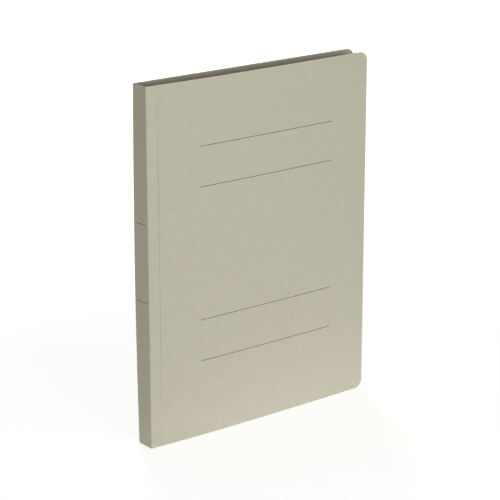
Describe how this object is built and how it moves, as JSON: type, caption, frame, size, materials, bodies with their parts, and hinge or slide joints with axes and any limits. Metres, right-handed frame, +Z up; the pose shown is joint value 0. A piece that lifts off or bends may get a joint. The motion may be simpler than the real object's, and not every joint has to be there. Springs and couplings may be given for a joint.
{
  "type": "flat file folder",
  "caption": "Closed paperboard file folder with a creased spine, a scored front cover and, inside, a prong fastener with a compressor bar and sliding keepers for punched sheets.",
  "frame": {"origin": "middle of the footprint, on the surface that the folder stands on", "axes": "+Z up along the spine, +X from the spine to the fore edge, +Y from the front cover to the back cover"},
  "size_m": [0.231, 0.018, 0.307],
  "materials": {
    "cover_board": "uncoated warm grey paperboard with fine fibres",
    "strip_board": "uncoated grey paperboard",
    "fastener_plastic": "satin moulded plastic, off-white",
    "bar_plastic": "satin moulded plastic, off-white",
    "slider_plastic": "satin moulded plastic, grey"
  },
  "bodies": {
    "back": {"back_cover": "cover_board", "binding_strip": "strip_board", "fastener_base": "fastener_plastic"},
    "spine": {"spine": "cover_board"},
    "hinge_strip": {"front_hinge_strip": "cover_board"},
    "front": {"front_cover": "cover_board"},
    "bar": {"compressor_bar": "bar_plastic"},
    "upper_strap": {"upper_strap": "fastener_plastic"},
    "lower_strap": {"lower_strap": "fastener_plastic"},
    "upper_slider": {"upper_slider": "slider_plastic"},
    "lower_slider": {"lower_slider": "slider_plastic"}
  },
  "joints": [
    {"name": "spine_crease", "type": "hinge", "parent": "back", "child": "spine", "pos_m": [-0.1155, 0.009, 0.1535], "axis": [0, 0, -1], "range_deg": [0, 90]},
    {"name": "front_crease", "type": "hinge", "parent": "spine", "child": "hinge_strip", "pos_m": [-0.1155, -0.009, 0.1535], "axis": [0, 0, -1], "range_deg": [-2, 90]},
    {"name": "front_score", "type": "hinge", "parent": "hinge_strip", "child": "front", "pos_m": [-0.105, -0.009, 0.1535], "axis": [0, 0, -1], "range_deg": [0, 90]},
    {"name": "bar_lift", "type": "slide", "parent": "back", "child": "bar", "axis": [0, -1, 0], "range_m": [0, 0.009]},
    {"name": "upper_strap_fold", "type": "hinge", "parent": "back", "child": "upper_strap", "pos_m": [-0.0955, 0.0048, 0.1929], "axis": [-1, 0, 0], "range_deg": [0, 90]},
    {"name": "lower_strap_fold", "type": "hinge", "parent": "back", "child": "lower_strap", "pos_m": [-0.0955, 0.0048, 0.1141], "axis": [1, 0, 0], "range_deg": [0, 90]},
    {"name": "upper_keeper_slide", "type": "slide", "parent": "bar", "child": "upper_slider", "axis": [0, 0, 1], "range_m": [0, 0.0085]},
    {"name": "lower_keeper_slide", "type": "slide", "parent": "bar", "child": "lower_slider", "axis": [0, 0, -1], "range_m": [0, 0.0085]}
  ],
  "couplings": [
    {"joint": "upper_strap_fold", "follows": "bar_lift", "rad_per_m": 174.53},
    {"joint": "lower_strap_fold", "follows": "bar_lift", "rad_per_m": 174.53}
  ]
}
